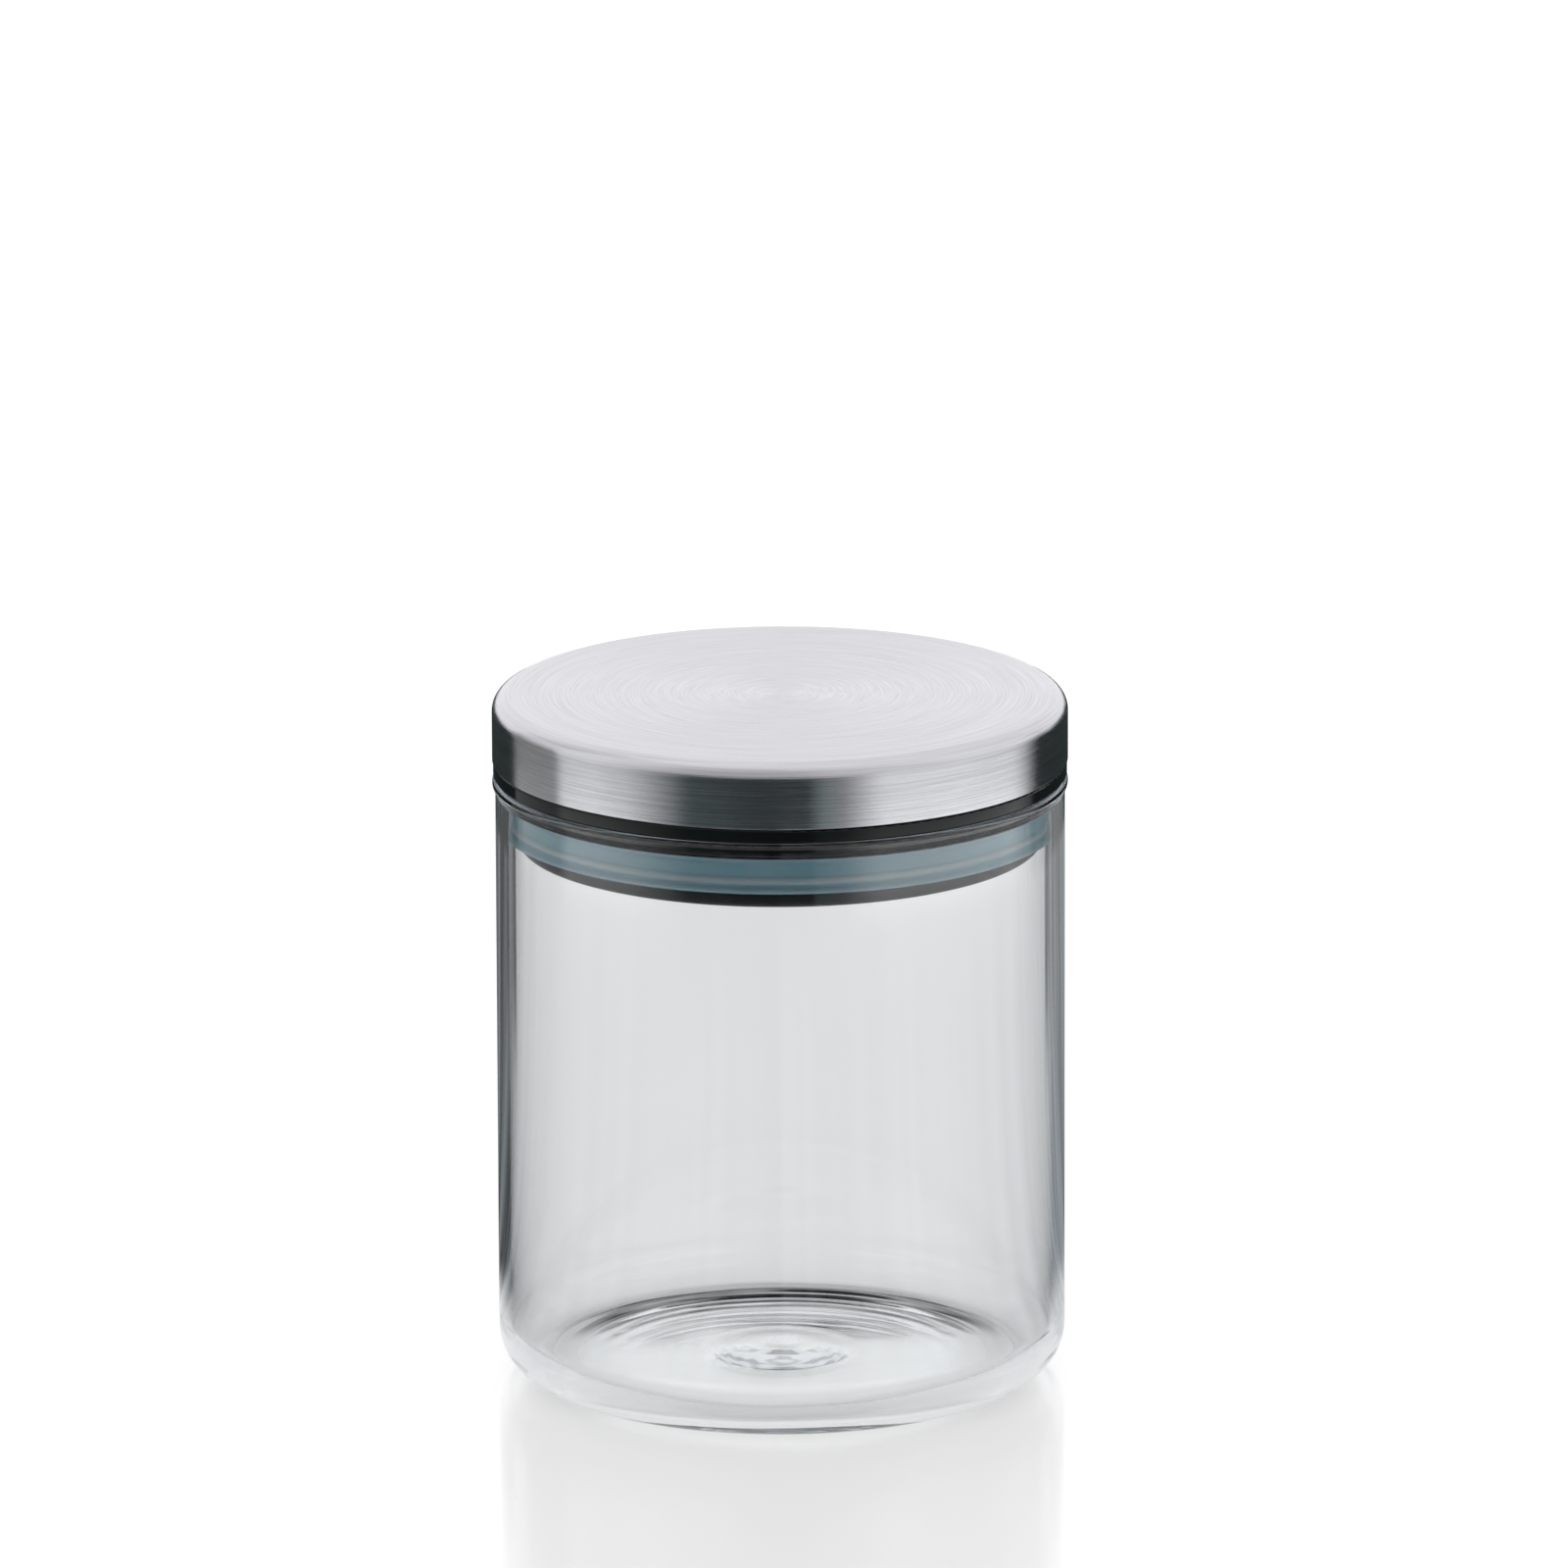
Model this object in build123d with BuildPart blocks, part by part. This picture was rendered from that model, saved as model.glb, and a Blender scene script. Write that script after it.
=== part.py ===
from build123d import *
from math import asin, atan2, degrees, sin
import os

# Lidded storage canister: a straight-sided glass jar with a rounded heel and a fire-polished rim,
# closed by a round plug lid. The lid is a deep-drawn steel shell bonded onto a moulded carrier.
# The carrier's flange lies on the glass rim, its plug hangs in the mouth, and a base plate welded
# into the plug closes it below and keeps a silicone ring in the groove between the two.
#
# Frame: +Z up along the axis of revolution, origin at the centre of the face the jar stands on.
# Millimetres throughout.

# ---- driving dimensions: jar ----
jar_radius = 47.0          # outside of the straight wall
jar_height = 102.0         # table to the top of the rim
wall = 2.0                 # side wall
floor = 3.0                # bottom, outside its centre
heel_radius = 8.0          # outside, where wall meets bottom
inner_heel_radius = 7.4    # inside, where wall meets floor
rim_flare = 0.5            # how far the fire-polished rim stands out past the wall
rim_neck_radius = 1.5      # hollow blend between wall and rim
foot_width = 5.0           # flat ring that touches the table
push_up = 0.6              # how far the middle of the underside is raised
push_up_slope = 25.0       # width of the slope between the foot and the raised middle
nub_radius = 11.0          # gather mark in the middle of the floor
nub_height = 1.1
dimple_radius = 4.0        # sunk crown of the gather mark
dimple_depth = 0.45

# ---- driving dimensions: lid ----
shell_overhang = 0.0       # shell's side outside the rim's side
shell_depth = 10.9         # outside height of the drawn shell
sheet = 0.6                # steel thickness
shell_corner = 2.7         # outside radius between top and skirt
edge_round = 0.15          # polished cut edge of the skirt
flange_thickness = 2.3
flange_setback = 0.15      # flange's side inside the shell's side
flange_round = 0.3
land_gap = 0.7             # plain collar to the bore of the jar
land_height = 2.8          # collar between flange and groove
groove_depth = 2.3         # collar down to the groove floor
groove_height = 6.3
moulding_wall = 1.6
pad_thickness = 1.0
pad_margin = 6.0           # pad's edge inside the deck's edge
rib_count = 8
rib_thickness = 1.2
rib_depth = 3.0
hub_radius = 9.0           # ring that the ribs run out from
lip_gap = 1.7              # side of the base plate to the bore of the jar
lip_thickness = 2.9        # edge of the base plate, under the groove
lip_round = 2.4            # lead-in round below that edge
plate_thickness = 1.8
spigot_height = 4.0        # base plate's collar inside the plug
spigot_chamfer = 0.4

# ---- driving dimensions: seal ----
band_thickness = 1.9       # plain band of the ring, over the groove floor
lip_height = 1.5           # tip of each of the two soft lips
lip_root_height = 2.3      # the same lip where it leaves the band
lip_tip_round = 0.5

# ---- clearances ----
seat_gap = 0.1             # lid flange over the rim
shell_gap = 0.1            # shell's cut edge over the flange
fit_gap = 0.12             # carrier wall inside the shell, base plate's collar inside the plug
seal_turn_gap = 0.1        # ring round the groove floor, so that the lid turns in it
seal_side_gap = 0.12       # ring to each side of the groove
seal_bore_gap = 0.08       # lip tips, drawn as pressed, to the glass

# ---- derived sizes ----
bore_radius = jar_radius - wall
rim_radius = (wall + rim_flare) / 2
rim_centre_x = bore_radius + rim_radius
rim_centre_z = jar_height - rim_radius
foot_outer = jar_radius - heel_radius
foot_inner = foot_outer - foot_width

shell_radius = jar_radius + rim_flare + shell_overhang
flange_radius = shell_radius - flange_setback
flange_bottom = jar_height + seat_gap
flange_top = flange_bottom + flange_thickness
skirt_bottom = flange_top + shell_gap
lid_top = skirt_bottom + shell_depth
hat_radius = shell_radius - sheet - fit_gap
hat_corner = shell_corner - sheet / 2
hat_inner_radius = hat_radius - moulding_wall
deck_top = lid_top - sheet - pad_thickness
deck_bottom = deck_top - moulding_wall
groove_top = flange_bottom - land_height
groove_bottom = groove_top - groove_height
land_radius = bore_radius - land_gap
groove_radius = land_radius - groove_depth
plug_inner_radius = groove_radius - moulding_wall
plug_bottom = groove_bottom - lip_thickness
lip_radius = bore_radius - lip_gap
spigot_radius = plug_inner_radius - fit_gap
spigot_inner_radius = spigot_radius - moulding_wall

os.makedirs("parts", exist_ok=True)


def ease(start, run, rise):
    """Add two equal tangent arcs that run inwards from level to level; return where they end."""
    turn = 2 * atan2(abs(rise), run)
    radius = run / (2 * sin(turn))
    side = -1 if rise > 0 else 1
    first = JernArc(start, (-1, 0), radius, side * degrees(turn))
    second = JernArc(first @ 1, first % 1, radius, -side * degrees(turn))
    return second @ 1


# ---- glass jar: one turned section, foot to rim and back down the bore to the gather mark ----
neck_centre_x = jar_radius + rim_neck_radius
neck_reach = rim_neck_radius + rim_radius
neck_drop = (neck_reach**2 - (neck_centre_x - rim_centre_x) ** 2) ** 0.5
neck_turn = degrees(asin(neck_drop / neck_reach))

with BuildPart() as glass_jar:
    with BuildSketch(Plane.XZ):
        with BuildLine():
            foot = Line((foot_outer, 0), (foot_inner, 0))
            raised = ease(foot @ 1, push_up_slope, push_up)
            Line(raised, (0, push_up))
            Line((0, push_up), (0, floor + nub_height - dimple_depth))
            heel = JernArc(foot @ 0, (1, 0), heel_radius, 90)
            side = Line(heel @ 1, (jar_radius, rim_centre_z - neck_drop))
            neck = JernArc(side @ 1, (0, 1), rim_neck_radius, -neck_turn)
            rim = JernArc(neck @ 1, neck % 1, rim_radius, 180 + neck_turn)
            bore = Line(rim @ 1, (bore_radius, floor + inner_heel_radius))
            inner_heel = JernArc(bore @ 1, (0, -1), inner_heel_radius, -90)
            inner_floor = Line(inner_heel @ 1, (nub_radius, floor))
            crown = ease(inner_floor @ 1, nub_radius - dimple_radius, nub_height)
            ease(crown, dimple_radius, -dimple_depth)
        make_face()
    revolve(axis=Axis.Z)
glass_jar.part.label = "glass_jar"
export_step(glass_jar.part, "parts/glass_jar.step")

# ---- lid shell: a drawn disc with a rounded corner and a skirt, open below ----
with BuildPart() as lid_shell:
    with BuildSketch(Plane.XY.offset(skirt_bottom)):
        Circle(shell_radius)
    extrude(amount=shell_depth)
    fillet(lid_shell.faces().sort_by(Axis.Z)[-1].edges(), shell_corner)
    offset(amount=-sheet, openings=lid_shell.faces().sort_by(Axis.Z)[0])
    fillet(lid_shell.faces().sort_by(Axis.Z)[0].edges(), min(edge_round, sheet / 3))
lid_shell.part.label = "lid_shell"
export_step(lid_shell.part, "parts/lid_shell.step")

# ---- lid carrier: deck and wall inside the shell, flange on the rim, collar and groove below ----
with BuildPart() as lid_carrier:
    with BuildSketch(Plane.XY.offset(flange_top)):
        Circle(hat_radius)
    extrude(amount=deck_top - flange_top)
    fillet(lid_carrier.faces().sort_by(Axis.Z)[-1].edges(), hat_corner)
    with BuildSketch(Plane.XY.offset(flange_bottom)):
        Circle(flange_radius)
    extrude(amount=flange_thickness)
    flange_edges = lid_carrier.edges().filter_by(GeomType.CIRCLE).sort_by(SortBy.RADIUS)[-2:]
    fillet(flange_edges, min(flange_round, flange_thickness / 3))
    with BuildSketch(Plane.XY.offset(groove_top)):
        Circle(land_radius)
    extrude(amount=land_height)
    with BuildSketch(Plane.XY.offset(groove_bottom)):
        Circle(groove_radius)
    extrude(amount=groove_height)
    with BuildSketch(Plane.XY.offset(deck_bottom)):
        Circle(hat_inner_radius)
    extrude(amount=flange_bottom + moulding_wall - deck_bottom, mode=Mode.SUBTRACT)
    with BuildSketch(Plane.XY.offset(groove_bottom)):
        Circle(plug_inner_radius)
    extrude(amount=deck_bottom - groove_bottom, mode=Mode.SUBTRACT)
    with BuildSketch(Plane.XY.offset(deck_bottom)):
        with PolarLocations((hub_radius + hat_inner_radius) / 2, rib_count):
            Rectangle(hat_inner_radius - hub_radius + moulding_wall, rib_thickness)
        Circle(hub_radius + rib_thickness)
        Circle(hub_radius, mode=Mode.SUBTRACT)
    extrude(amount=-rib_depth)
lid_carrier.part.label = "lid_carrier"
export_step(lid_carrier.part, "parts/lid_carrier.step")

# ---- plug base: round plate whose edge is the lower side of the groove, with a welded collar ----
with BuildPart() as plug_base:
    with BuildSketch(Plane.XY.offset(plug_bottom)):
        Circle(lip_radius)
    extrude(amount=lip_thickness)
    fillet(plug_base.faces().sort_by(Axis.Z)[0].edges(), min(lip_round, lip_thickness * 0.9))
    with BuildSketch(Plane.XY.offset(groove_bottom)):
        Circle(spigot_radius)
    extrude(amount=spigot_height)
    chamfer(plug_base.faces().sort_by(Axis.Z)[-1].edges(), min(spigot_chamfer, moulding_wall / 3))
    with BuildSketch(Plane.XY.offset(plug_bottom + plate_thickness)):
        Circle(spigot_inner_radius)
    extrude(amount=lip_thickness + spigot_height, mode=Mode.SUBTRACT)
plug_base.part.label = "plug_base"
export_step(plug_base.part, "parts/plug_base.step")

# ---- bonding pad: foam tape disc that holds the shell's top down on the carrier's deck ----
with BuildPart() as bonding_pad:
    with BuildSketch(Plane.XY.offset(deck_top)):
        Circle(hat_radius - pad_margin)
    extrude(amount=pad_thickness)
bonding_pad.part.label = "bonding_pad"
export_step(bonding_pad.part, "parts/bonding_pad.step")

# ---- seal ring: a plain band in the groove, with two soft lips that press on the bore ----
seal_inner = groove_radius + seal_turn_gap
seal_band = groove_radius + band_thickness
seal_tip = bore_radius - seal_bore_gap
seal_low = groove_bottom + seal_side_gap
seal_high = groove_top - seal_side_gap

with BuildPart() as seal_ring:
    with BuildSketch(Plane.XZ) as seal_section:
        with BuildLine():
            Polyline(
                (seal_inner, seal_low),
                (seal_tip, seal_low),
                (seal_tip, seal_low + lip_height),
                (seal_band, seal_low + lip_root_height),
                (seal_band, seal_high - lip_root_height),
                (seal_tip, seal_high - lip_height),
                (seal_tip, seal_high),
                (seal_inner, seal_high),
                close=True,
            )
        make_face()
        tip_corners = seal_section.vertices().group_by(Axis.X)[-1]
        fillet(tip_corners, min(lip_tip_round, lip_height / 3))
    revolve(axis=Axis.Z)
seal_ring.part.label = "seal_ring"
export_step(seal_ring.part, "parts/seal_ring.step")

for piece in (glass_jar, lid_shell, lid_carrier, plug_base, bonding_pad, seal_ring):
    box = piece.part.bounding_box()
    print(piece.part.label, round(piece.part.volume), "mm3,",
          "z", round(box.min.Z, 2), "to", round(box.max.Z, 2))
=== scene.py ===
import math

import bmesh
import bpy
from mathutils import Matrix, Vector


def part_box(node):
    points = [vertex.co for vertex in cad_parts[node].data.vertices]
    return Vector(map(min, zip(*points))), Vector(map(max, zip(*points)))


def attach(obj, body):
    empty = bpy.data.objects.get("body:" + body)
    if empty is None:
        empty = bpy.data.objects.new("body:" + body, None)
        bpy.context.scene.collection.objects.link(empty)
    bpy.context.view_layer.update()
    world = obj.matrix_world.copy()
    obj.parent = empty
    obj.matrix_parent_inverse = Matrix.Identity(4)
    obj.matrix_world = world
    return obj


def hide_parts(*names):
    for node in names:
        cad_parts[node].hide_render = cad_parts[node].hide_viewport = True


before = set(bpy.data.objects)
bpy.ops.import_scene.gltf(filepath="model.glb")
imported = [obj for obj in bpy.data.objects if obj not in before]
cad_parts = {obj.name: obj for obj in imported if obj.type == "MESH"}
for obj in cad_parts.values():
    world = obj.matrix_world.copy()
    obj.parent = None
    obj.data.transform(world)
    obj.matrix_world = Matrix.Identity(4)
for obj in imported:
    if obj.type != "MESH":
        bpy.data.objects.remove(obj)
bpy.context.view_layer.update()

mm = 0.001

# node settings that come back in many trees

add = {"operation": "ADD"}
subtract = {"operation": "SUBTRACT"}
multiply = {"operation": "MULTIPLY"}
divide = {"operation": "DIVIDE"}
multiplyAdd = {"operation": "MULTIPLY_ADD"}
greater = {"operation": "GREATER_THAN"}
less = {"operation": "LESS_THAN"}
scaleBy = {"operation": "SCALE"}
length = {"operation": "LENGTH"}
smoothStep = {"interpolation_type": "SMOOTHSTEP"}


def hexColour(text):  # an sRGB hex value as linear RGBA
    parts = [int(text[i:i + 2], 16) / 255 for i in (1, 3, 5)]
    return [c / 12.92 if c <= 0.04045 else ((c + 0.055) / 1.055) ** 2.4 for c in parts] + [1.0]


def addNode(tree, kind, settings=None, inputs=None):  # inputs are values, sockets or whole nodes
    node = tree.nodes.new(kind)
    for name, value in (settings or {}).items():
        setattr(node, name, value)
    for key, value in (inputs or {}).items():
        if isinstance(value, bpy.types.Node):
            value = value.outputs[0]
        if isinstance(value, bpy.types.NodeSocket):
            tree.links.new(value, node.inputs[key])
        else:
            node.inputs[key].default_value = value
    return node


def newMaterial(name):
    material = bpy.data.materials.new(name)
    material.use_nodes = True
    material.node_tree.nodes.clear()
    return material, material.node_tree


def finishMaterial(tree, shader):
    addNode(tree, "ShaderNodeOutputMaterial", inputs={"Surface": shader})


# outlines: half sections in metres, radius first, height second

def arc(centre, radius, start, end, count):  # angles in degrees, 0 points outwards, 90 up
    turns = [math.radians(start + (end - start) * i / count) for i in range(count + 1)]
    return [(centre[0] + radius * math.cos(t), centre[1] + radius * math.sin(t)) for t in turns]


def stretch(start, end, count):  # a straight run cut into equal steps
    return [(start[0] + (end[0] - start[0]) * i / count, start[1] + (end[1] - start[1]) * i / count)
            for i in range(count + 1)]


def easeRun(start, end, count):  # a smooth step from level to level
    points = []
    for i in range(count + 1):
        t = i / count
        rise = (end[1] - start[1]) * t * t * (3 - 2 * t)
        points.append((start[0] + (end[0] - start[0]) * t, start[1] + rise))
    return points


def outlineObject(name, points, closed):
    clean = []
    for r, z in points:
        if not clean or math.hypot(r - clean[-1][0], z - clean[-1][1]) > 1e-7:
            clean.append((max(r, 0.0), z))
    if closed:
        clean.append(clean[0])
    mesh = bpy.data.meshes.new(name)
    edges = [(i, i + 1) for i in range(len(clean) - 1)]
    mesh.from_pydata([(r, 0, z) for r, z in clean], edges, [])
    piece = bpy.data.objects.new(name, mesh)
    bpy.context.scene.collection.objects.link(piece)
    return piece


# turning: a node tree that spins an outline round the axis

def turningTree():
    tree = bpy.data.node_groups.new("Turning", "GeometryNodeTree")
    sockets = (
        ("Outline", "NodeSocketGeometry"),
        ("Segments", "NodeSocketInt"),
        ("Start Angle", "NodeSocketFloat"),
        ("Sweep Angle", "NodeSocketFloat"),
        ("Nub Ripple Height", "NodeSocketFloat"),
        ("Nub Ripple Pitch", "NodeSocketFloat"),
        ("Nub Ripple Inner Radius", "NodeSocketFloat"),
        ("Nub Ripple Outer Radius", "NodeSocketFloat"),
        ("Heel Ripple Height", "NodeSocketFloat"),
        ("Heel Ripple Pitch", "NodeSocketFloat"),
        ("Heel Ripple Inner Radius", "NodeSocketFloat"),
        ("Heel Ripple Outer Radius", "NodeSocketFloat"),
        ("Heel Ripple Start Depth", "NodeSocketFloat"),
        ("Heel Ripple Full Depth", "NodeSocketFloat"),
        ("Ripple Above", "NodeSocketFloat"),
        ("Ripple Below", "NodeSocketFloat"),
        ("Wave Height", "NodeSocketFloat"),
        ("Wave Length", "NodeSocketFloat"),
        ("Wave Top", "NodeSocketFloat"),
        ("Seed", "NodeSocketFloat"),
        ("Material", "NodeSocketMaterial"),
    )
    for name, kind in sockets:
        tree.interface.new_socket(name, in_out="INPUT", socket_type=kind)
    tree.interface.new_socket("Turned", in_out="OUTPUT", socket_type="NodeSocketGeometry")
    given = addNode(tree, "NodeGroupInput").outputs

    # a grid of one row for each outline point, rolled round the axis
    count = addNode(tree, "GeometryNodeAttributeDomainSize", inputs={"Geometry": given["Outline"]})
    columns = addNode(tree, "ShaderNodeMath", add, {0: given["Segments"], 1: 1})
    grid = addNode(tree, "GeometryNodeMeshGrid", inputs={
        "Vertices X": count.outputs["Point Count"], "Vertices Y": columns})
    index = addNode(tree, "GeometryNodeInputIndex")
    middle = addNode(tree, "ShaderNodeMath", add, {0: index, 1: 0.5})
    part = addNode(tree, "ShaderNodeMath", divide, {0: middle, 1: columns})
    row = addNode(tree, "ShaderNodeMath", {"operation": "FLOOR"}, {0: part})
    before = addNode(tree, "ShaderNodeMath", multiply, {0: row, 1: columns})
    column = addNode(tree, "ShaderNodeMath", subtract, {0: index, 1: before})
    share = addNode(tree, "ShaderNodeMath", divide, {0: column, 1: given["Segments"]})
    angle = addNode(tree, "ShaderNodeMath", multiplyAdd, {
        0: share, 1: given["Sweep Angle"], 2: given["Start Angle"]})
    place = addNode(tree, "GeometryNodeInputPosition")
    sample = addNode(tree, "GeometryNodeSampleIndex", {"data_type": "FLOAT_VECTOR", "domain": "POINT"}, {
        "Geometry": given["Outline"], "Value": place, "Index": row})
    point = addNode(tree, "ShaderNodeSeparateXYZ", inputs={0: sample}).outputs
    cosine = addNode(tree, "ShaderNodeMath", {"operation": "COSINE"}, {0: angle})
    sine = addNode(tree, "ShaderNodeMath", {"operation": "SINE"}, {0: angle})
    spun = addNode(tree, "ShaderNodeCombineXYZ", inputs={
        0: addNode(tree, "ShaderNodeMath", multiply, {0: point["X"], 1: cosine}),
        1: addNode(tree, "ShaderNodeMath", multiply, {0: point["X"], 1: sine}),
        2: point["Z"]})
    turned = addNode(tree, "GeometryNodeSetPosition", inputs={
        "Geometry": grid.outputs["Mesh"], "Position": spun})
    merged = addNode(tree, "GeometryNodeMergeByDistance", inputs={"Geometry": turned, "Distance": 1e-7})

    # concentric ripples in the floor, in two bands, each strongest half way between its radii
    here = addNode(tree, "ShaderNodeSeparateXYZ", inputs={0: place}).outputs
    flat = addNode(tree, "ShaderNodeCombineXYZ", inputs={0: here["X"], 1: here["Y"]})
    radius = addNode(tree, "ShaderNodeVectorMath", length, {0: flat}).outputs["Value"]
    under = addNode(tree, "ShaderNodeMath", less, {0: here["Z"], 1: given["Ripple Below"]})
    over = addNode(tree, "ShaderNodeMath", greater, {0: here["Z"], 1: given["Ripple Above"]})
    level = addNode(tree, "ShaderNodeMath", multiply, {0: under, 1: over})
    behind = addNode(tree, "ShaderNodeMapRange", smoothStep, {
        "Value": here["Y"], "From Min": given["Heel Ripple Start Depth"],
        "From Max": given["Heel Ripple Full Depth"]})
    bands = []
    for name, mask in (("Nub", 1.0), ("Heel", behind)):
        waves = addNode(tree, "ShaderNodeMath", divide, {0: radius, 1: given[name + " Ripple Pitch"]})
        phase = addNode(tree, "ShaderNodeMath", multiply, {0: waves, 1: 2 * math.pi})
        swing = addNode(tree, "ShaderNodeMath", {"operation": "SINE"}, {0: phase})
        across = addNode(tree, "ShaderNodeMapRange", inputs={
            "Value": radius, "From Min": given[name + " Ripple Inner Radius"],
            "From Max": given[name + " Ripple Outer Radius"], "To Max": math.pi})
        swell = addNode(tree, "ShaderNodeMath", {"operation": "SINE"}, {0: across})
        height = addNode(tree, "ShaderNodeMath", multiply, {0: given[name + " Ripple Height"], 1: swell})
        height = addNode(tree, "ShaderNodeMath", multiply, {0: level, 1: height})
        height = addNode(tree, "ShaderNodeMath", multiply, {0: swing, 1: height})
        bands.append(addNode(tree, "ShaderNodeMath", multiply, {0: height, 1: mask}))
    ripple = addNode(tree, "ShaderNodeMath", add, {0: bands[0], 1: bands[1]})

    # slow waviness of the drawn glass, fading out towards the foot and the rim
    noise = addNode(tree, "ShaderNodeTexNoise", {"noise_dimensions": "4D"}, {
        "Vector": place, "W": given["Seed"], "Detail": 1.0,
        "Scale": addNode(tree, "ShaderNodeMath", divide, {0: 1.0, 1: given["Wave Length"]})})
    fadeFrom = addNode(tree, "ShaderNodeMath", multiply, {0: given["Wave Top"], 1: 0.3})
    fade = addNode(tree, "ShaderNodeMapRange", smoothStep, {
        "Value": here["Z"], "From Min": fadeFrom, "From Max": given["Wave Top"],
        "To Min": 1.0, "To Max": 0.0})
    foot = addNode(tree, "ShaderNodeMapRange", smoothStep, {"Value": here["Z"], "From Max": mm})
    swing = addNode(tree, "ShaderNodeMath", subtract, {0: noise, 1: 0.5})
    faded = addNode(tree, "ShaderNodeMath", multiply, {0: fade, 1: foot})
    height = addNode(tree, "ShaderNodeMath", multiply, {0: given["Wave Height"], 1: faded})
    wave = addNode(tree, "ShaderNodeMath", multiply, {0: swing, 1: height})
    normal = addNode(tree, "GeometryNodeInputNormal")
    away = addNode(tree, "ShaderNodeVectorMath", scaleBy, {0: normal, "Scale": wave})
    up = addNode(tree, "ShaderNodeCombineXYZ", inputs={2: ripple})
    both = addNode(tree, "ShaderNodeVectorMath", add, {0: away, 1: up})
    uneven = addNode(tree, "GeometryNodeSetPosition", inputs={"Geometry": merged, "Offset": both})
    smooth = addNode(tree, "GeometryNodeSetShadeSmooth", inputs={"Geometry": uneven})
    real = addNode(tree, "GeometryNodeRealizeInstances", inputs={"Geometry": smooth})
    painted = addNode(tree, "GeometryNodeSetMaterial", inputs={
        "Geometry": real, "Material": given["Material"]})
    addNode(tree, "NodeGroupOutput", inputs={0: painted})
    return tree


turning = turningTree()


def turn(name, points, closed, material, values):  # spins an outline and returns the finished piece
    outline = outlineObject(name + "Outline", points, closed)
    modifier = outline.modifiers.new("Turning", "NODES")
    modifier.node_group = turning
    items = turning.interface.items_tree
    sockets = {item.name: item.identifier for item in items if item.in_out == "INPUT"}
    filled = {  # a full turn, and values that are safe to divide by where there are no ripples or waves
        "Sweep Angle": 2 * math.pi,
        "Nub Ripple Pitch": mm,
        "Nub Ripple Outer Radius": mm,
        "Heel Ripple Pitch": mm,
        "Heel Ripple Outer Radius": mm,
        "Heel Ripple Full Depth": mm,
        "Wave Length": 10 * mm,
        "Wave Top": mm,
        **values,
    }
    for key, value in filled.items():
        modifier[sockets[key]] = value
    modifier[sockets["Material"]] = material
    bpy.context.view_layer.update()
    graph = bpy.context.evaluated_depsgraph_get()
    mesh = bpy.data.meshes.new_from_object(outline.evaluated_get(graph))
    shape = bmesh.new()
    shape.from_mesh(mesh)
    bmesh.ops.remove_doubles(shape, verts=shape.verts, dist=1e-7)
    bmesh.ops.recalc_face_normals(shape, faces=shape.faces)
    shape.to_mesh(mesh)
    shape.free()
    bpy.data.objects.remove(outline)
    mesh.name = name
    piece = bpy.data.objects.new(name, mesh)
    bpy.context.scene.collection.objects.link(piece)
    print("turned", name, len(mesh.polygons), "faces")
    return piece


# glass jar

jar = {
    "wall": 2.0 * mm,
    "rimFlare": 0.5 * mm,
    "neckRadius": 1.5 * mm,
    "floor": 3.0 * mm,
    "heelRadius": 8.0 * mm,
    "innerHeelRadius": 7.4 * mm,
    "footWidth": 5.0 * mm,
    "pushUp": 0.6 * mm,
    "pushUpSlope": 25.0 * mm,
    "nubRadius": 13.5 * mm,
    "nubHeight": 1.1 * mm,
    "dimpleRadius": 4.0 * mm,
    "dimpleDepth": 0.3 * mm,
    "segments": 272,
    "nubRipple": 0.01 * mm,
    "nubPitch": 1.8 * mm,
    "nubRippleFrom": 1.5 * mm,
    "nubRippleTo": 15.5 * mm,
    "heelRipple": 0.13 * mm,
    "heelPitch": 3.1 * mm,
    "heelRippleFrom": 27.0 * mm,
    "heelRippleTo": 42.0 * mm,
    "heelRippleStart": 6.0 * mm,  # how far behind the axis the heel's ripples begin
    "heelRippleFull": 30.0 * mm,
    "rippleAbove": 1.5 * mm,      # the ripples lie in the floor's upper face, between these heights
    "rippleBelow": 6.0 * mm,
    "waveHeight": 0.25 * mm,
    "waveLength": 22.0 * mm,
    "waveTop": 24.0 * mm,
    "seed": 7.0,
}


def clearGlass():  # clear borosilicate, blown and fire-polished: sharp reflections, no tint in thin walls
    material, tree = newMaterial("clearBorosilicateGlass")
    shader = addNode(tree, "ShaderNodeBsdfPrincipled", inputs={
        "Base Color": hexColour("#feffff"),
        "Roughness": 0.0,
        "IOR": 1.473,
        "Transmission Weight": 1.0,
    })
    depth = addNode(tree, "ShaderNodeVolumeAbsorption", inputs={
        "Color": hexColour("#dde3e7"), "Density": 18.0})  # grey-blue where light runs far inside the wall
    addNode(tree, "ShaderNodeOutputMaterial", inputs={
        "Surface": shader, "Volume": depth})
    return material


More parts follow.
